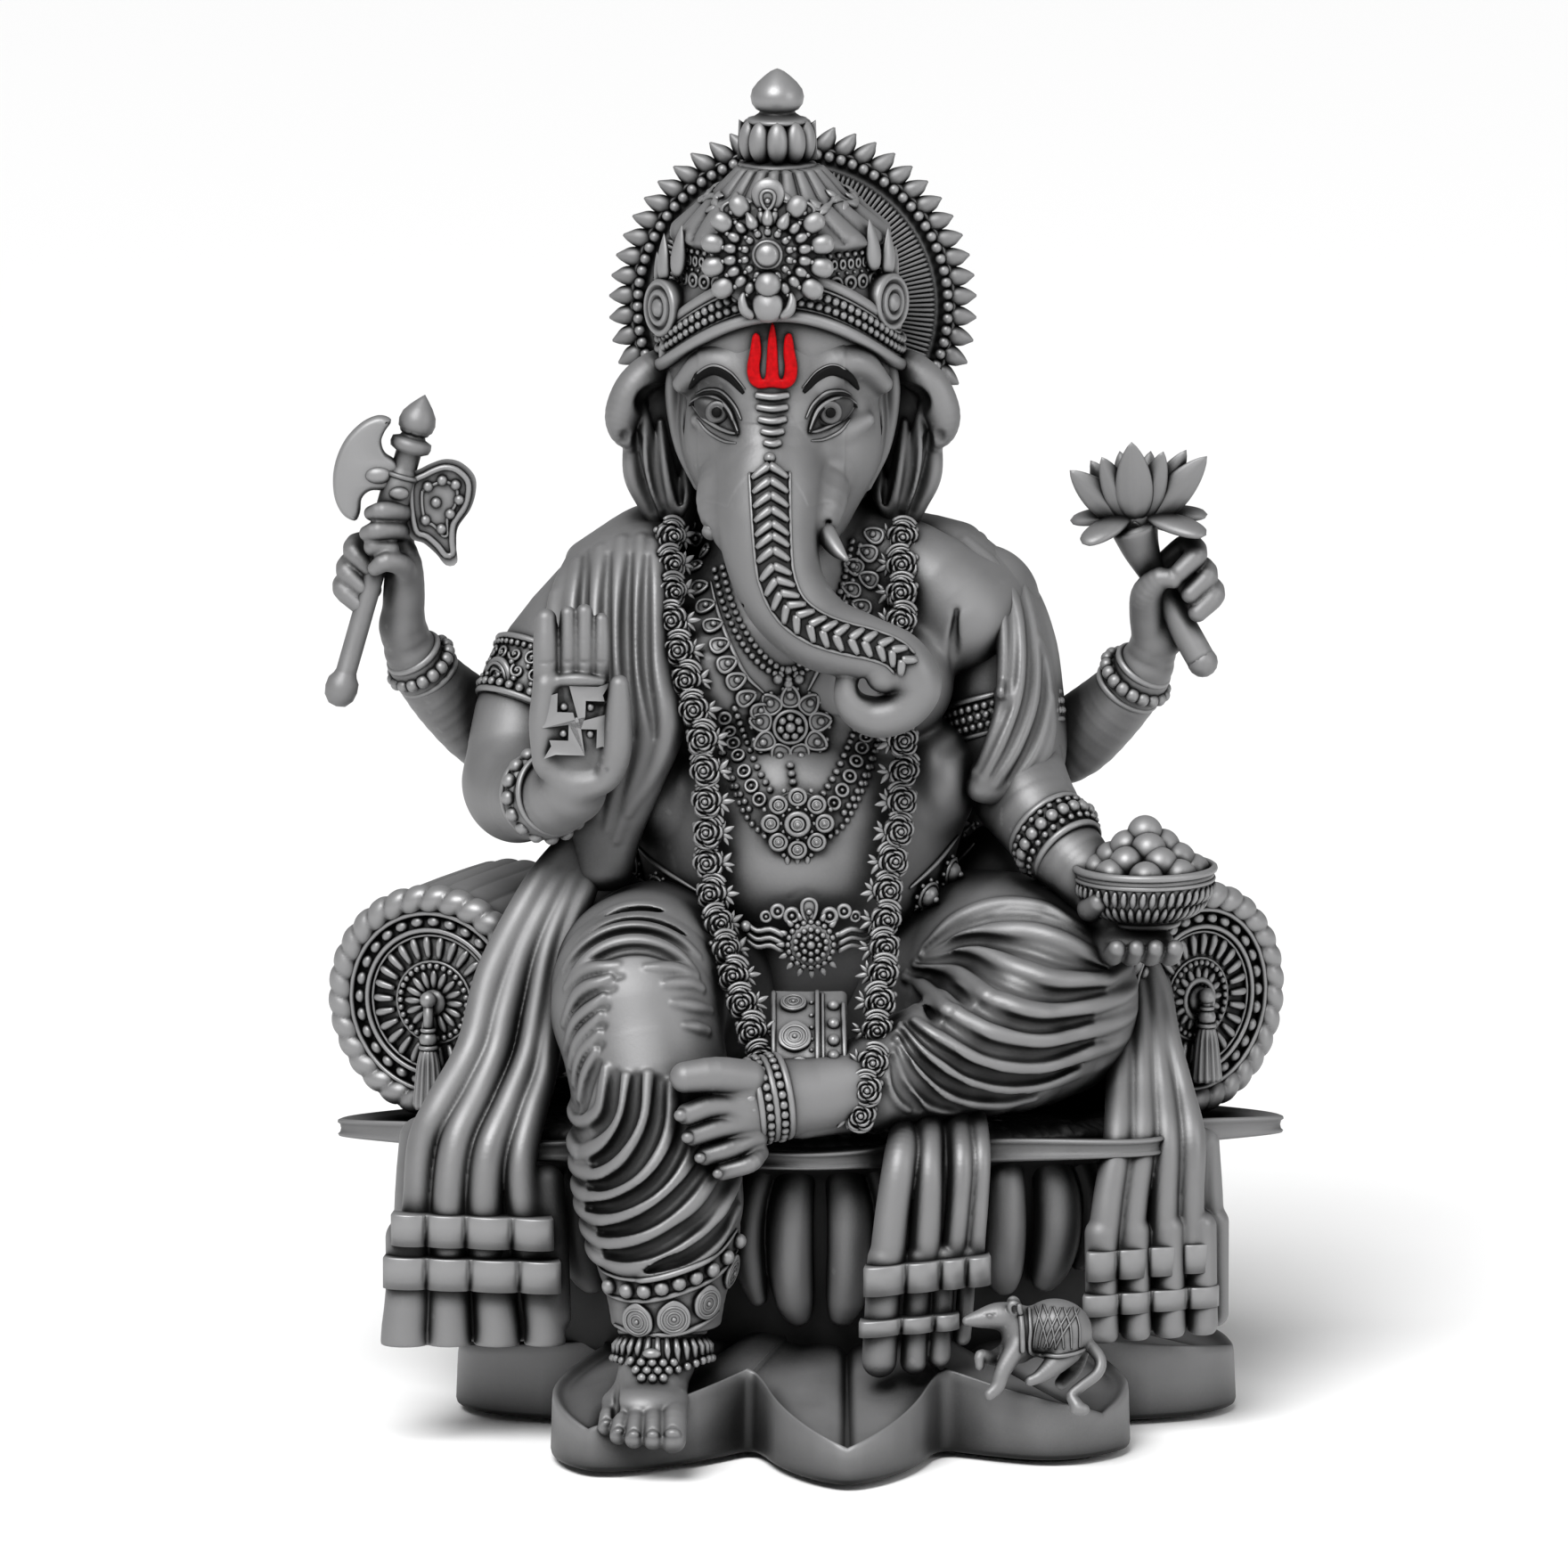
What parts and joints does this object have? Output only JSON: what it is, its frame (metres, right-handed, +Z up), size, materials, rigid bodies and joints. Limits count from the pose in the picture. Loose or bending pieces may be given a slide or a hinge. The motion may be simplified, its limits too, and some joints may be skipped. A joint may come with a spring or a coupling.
{
  "type": "seated elephant-headed deity figurine",
  "caption": "Cast household idol of a seated elephant-headed, four-armed figure with crown and halo on a lotus throne, antique pewter finish.",
  "frame": {"origin": "centre of the underside of the base", "axes": "+Z up, -Y the side the figure faces, +X the figure's own left"},
  "size_m": [0.2163, 0.18, 0.3046],
  "materials": {
    "pewter": "cold-cast resin and marble powder with a satin antique pewter coating, black wash in the recesses",
    "pewter_relief": "the same coating rubbed brighter on raised ornament",
    "pewter_dark": "the same coating left dark in a recess",
    "red_enamel": "glossy red paint on the casting",
    "steel": "plain drawn steel, hidden inside",
    "felt": "dark green felt, hidden underneath"
  },
  "bodies": {
    "root": {"felt_pad": "felt", "base_lotus": "pewter", "base_dowels": "steel", "seat_core": "pewter", "seat_petals": "pewter", "seat_rim": "pewter", "seat_mat": "pewter_dark", "bolster_right": "pewter", "bolster_left": "pewter", "bolster_rosettes": "pewter_relief", "tassels": "pewter_relief", "drape_right": "pewter", "drape_left": "pewter", "drape_front": "pewter", "drape_hems": "pewter_relief", "torso": "pewter", "leg_right": "pewter", "leg_left": "pewter", "foot_right": "pewter", "foot_left": "pewter", "anklets": "pewter_relief", "sash_panel": "pewter_relief", "belt": "pewter_relief", "arm_front_right": "pewter", "arm_front_left": "pewter", "arm_rear_right": "pewter", "arm_rear_left": "pewter", "arm_pins": "steel", "palm_emblem": "pewter_relief", "armlets": "pewter_relief", "bracelets": "pewter_relief", "axe_handle": "pewter", "axe_blade": "pewter_relief", "lotus_flower": "pewter", "lotus_stem": "pewter", "sweet_bowl": "pewter_relief", "sweets": "pewter_relief", "shawl_right": "pewter", "shawl_left": "pewter", "head": "pewter", "ear_right": "pewter", "ear_left": "pewter", "trunk": "pewter", "trunk_ornament": "pewter_relief", "tusks": "pewter_relief", "eyes": "pewter_dark", "tilak": "red_enamel", "crown_band": "pewter_relief", "crown_dome": "pewter", "crown_jewels": "pewter_relief", "crown_spire": "pewter_relief", "halo_disc": "pewter_dark", "halo_beads": "pewter_relief", "halo_flames": "pewter", "garlands": "pewter_relief", "necklaces": "pewter_relief", "pendants": "pewter_relief", "mouse": "pewter"}
  },
  "joints": []
}
